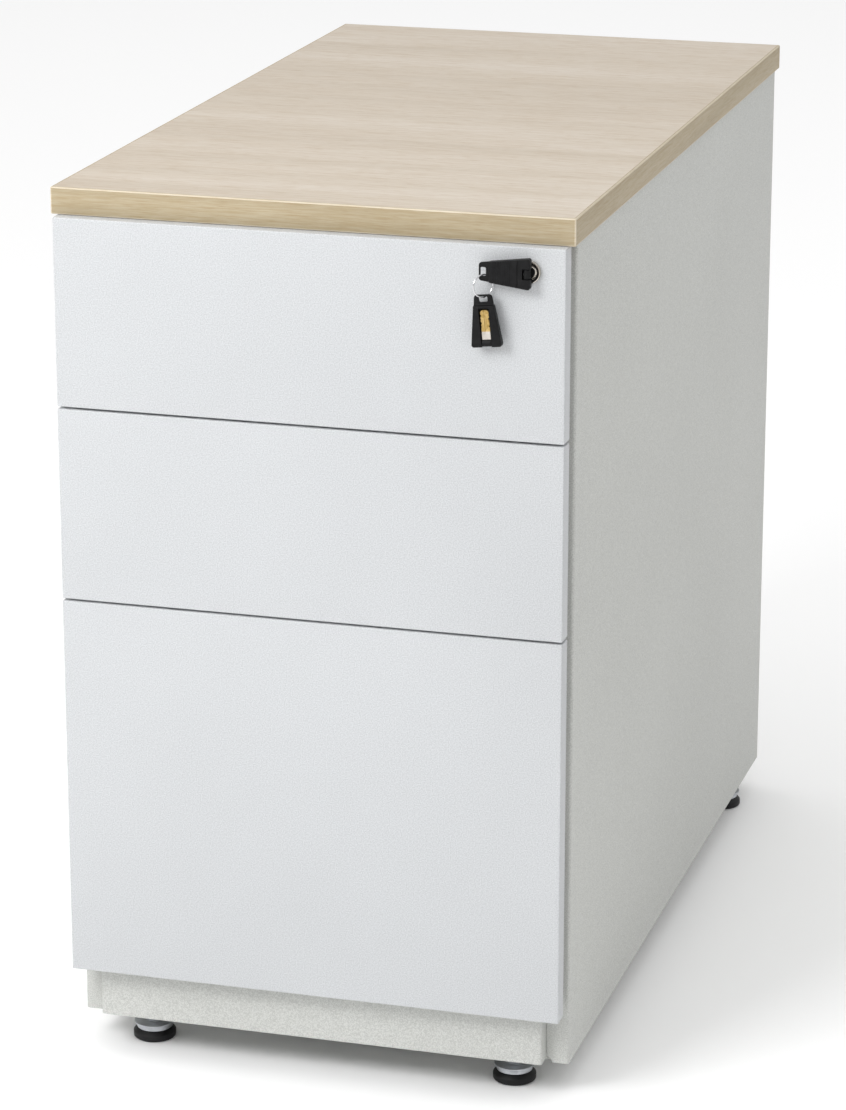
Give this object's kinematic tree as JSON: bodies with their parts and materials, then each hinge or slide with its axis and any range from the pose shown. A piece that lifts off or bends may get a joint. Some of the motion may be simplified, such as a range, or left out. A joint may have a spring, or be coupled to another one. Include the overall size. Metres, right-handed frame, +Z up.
{
  "type": "drawer pedestal",
  "caption": "Desk-high steel drawer pedestal with box drawers over a file drawer, a wood-look worktop, a central lock with folding keys, and screw feet.",
  "frame": {"origin": "on the floor, under the middle of the whole object's box, the hanging keys included", "axes": "+X to the right when facing the drawers, +Y towards the back, +Z up; the drawers open along -Y"},
  "size_m": [0.428, 0.816, 0.74],
  "materials": {
    "front_paint": "fine-textured cool white powder coat",
    "body_paint": "fine-textured light warm grey powder coat",
    "wood_top": "pale wood-grain melamine on chipboard",
    "wood_edge": "wood-look ABS edge banding",
    "zinc": "bright zinc-plated steel",
    "chrome": "nickel-plated",
    "brass": "milled brass",
    "black_plastic": "lightly textured black plastic"
  },
  "bodies": {
    "carcass": {"back_panel": "body_paint", "base_panel": "body_paint", "edge_band_back": "wood_edge", "edge_band_front": "wood_edge", "edge_band_left": "wood_edge", "edge_band_right": "wood_edge", "lock_bar_guide_lower": "zinc", "lock_bar_guide_upper": "zinc", "plinth_panel": "body_paint", "runner_fixed_file_left": "zinc", "runner_fixed_file_right": "zinc", "runner_fixed_middle_left": "zinc", "runner_fixed_middle_right": "zinc", "runner_fixed_top_left": "zinc", "runner_fixed_top_right": "zinc", "side_panel_left": "body_paint", "side_panel_right": "body_paint", "top_rail_front": "zinc", "top_rail_rear": "zinc", "upright_front_left": "zinc", "upright_front_right": "zinc", "upright_rear_left": "zinc", "upright_rear_right": "zinc", "worktop": "wood_top"},
    "drawer_top": {"drawer_front_top": "front_paint", "drawer_box_top": "body_paint", "runner_moving_top_left": "zinc", "runner_moving_top_right": "zinc", "lock_housing": "chrome"},
    "drawer_middle": {"drawer_front_middle": "front_paint", "drawer_box_middle": "body_paint", "runner_moving_middle_left": "zinc", "runner_moving_middle_right": "zinc", "lock_catch_middle": "zinc"},
    "drawer_file": {"drawer_front_file": "front_paint", "drawer_box_file": "body_paint", "runner_moving_file_left": "zinc", "runner_moving_file_right": "zinc", "lock_catch_file": "zinc", "file_rail_left": "zinc", "file_rail_right": "zinc"},
    "file_runner_middles": {"runner_middle_file_left": "zinc", "runner_middle_file_right": "zinc"},
    "lock_core": {"lock_plug": "black_plastic", "lock_cam": "zinc"},
    "lock_bar": {"lock_bar": "zinc"},
    "key_1_blade": {"key_1_blade": "brass"},
    "key_1_head": {"key_1_head": "black_plastic"},
    "key_ring": {"key_ring": "chrome"},
    "key_2_head": {"key_2_head": "black_plastic"},
    "key_2_blade": {"key_2_blade": "brass"},
    "foot_front_left": {"foot_pad_front_left": "black_plastic", "foot_stem_front_left": "zinc"},
    "foot_front_right": {"foot_pad_front_right": "black_plastic", "foot_stem_front_right": "zinc"},
    "foot_rear_left": {"foot_pad_rear_left": "black_plastic", "foot_stem_rear_left": "zinc"},
    "foot_rear_right": {"foot_pad_rear_right": "black_plastic", "foot_stem_rear_right": "zinc"}
  },
  "joints": [
    {"name": "drawer_top_slide", "type": "slide", "parent": "carcass", "child": "drawer_top", "axis": [0, -1, 0], "range_m": [0, 0.45]},
    {"name": "drawer_middle_slide", "type": "slide", "parent": "carcass", "child": "drawer_middle", "axis": [0, -1, 0], "range_m": [0, 0.45]},
    {"name": "drawer_file_slide", "type": "slide", "parent": "carcass", "child": "drawer_file", "axis": [0, -1, 0], "range_m": [0, 0.67]},
    {"name": "file_runner_slide", "type": "slide", "parent": "carcass", "child": "file_runner_middles", "axis": [0, -1, 0], "range_m": [0, 0.335]},
    {"name": "lock_turn", "type": "hinge", "parent": "drawer_top", "child": "lock_core", "pos_m": [0.1804, -0.392, 0.699], "axis": [0, -1, 0], "range_deg": [0, 90]},
    {"name": "lock_bar_lift", "type": "slide", "parent": "carcass", "child": "lock_bar", "axis": [0, 0, 1], "range_m": [0, 0.01414]},
    {"name": "key_1_pull", "type": "slide", "parent": "lock_core", "child": "key_1_blade", "axis": [0, -1, 0], "range_m": [0, 0.028]},
    {"name": "key_1_fold", "type": "hinge", "parent": "key_1_blade", "child": "key_1_head", "pos_m": [0.1804, -0.4005, 0.699], "axis": [0, 0, -1], "range_deg": [-90, 0]},
    {"name": "key_ring_hang", "type": "hinge", "parent": "key_1_head", "child": "key_ring", "pos_m": [0.1459, -0.4005, 0.6976], "axis": [0, -1, 0], "range_deg": [-90, 0]},
    {"name": "key_2_swing", "type": "hinge", "parent": "key_ring", "child": "key_2_head", "pos_m": [0.1459, -0.4005, 0.67855], "axis": [0, -1, 0], "range_deg": [-15, 15]},
    {"name": "key_2_unfold", "type": "hinge", "parent": "key_2_head", "child": "key_2_blade", "pos_m": [0.14933, -0.4005, 0.64297], "axis": [0.9954, 0, 0.0958], "range_deg": [0, 180]},
    {"name": "foot_front_left_screw", "type": "slide", "parent": "carcass", "child": "foot_front_left", "axis": [0, 0, -1], "range_m": [-0.012, 0.012]},
    {"name": "foot_front_right_screw", "type": "slide", "parent": "carcass", "child": "foot_front_right", "axis": [0, 0, -1], "range_m": [-0.012, 0.012]},
    {"name": "foot_rear_left_screw", "type": "slide", "parent": "carcass", "child": "foot_rear_left", "axis": [0, 0, -1], "range_m": [-0.012, 0.012]},
    {"name": "foot_rear_right_screw", "type": "slide", "parent": "carcass", "child": "foot_rear_right", "axis": [0, 0, -1], "range_m": [-0.012, 0.012]}
  ],
  "couplings": [
    {"joint": "file_runner_slide", "follows": "drawer_file_slide", "ratio": 0.5},
    {"joint": "lock_turn", "follows": "lock_bar_lift", "rad_per_m": 111.07},
    {"joint": "key_ring_hang", "follows": "lock_bar_lift", "rad_per_m": -111.07}
  ]
}
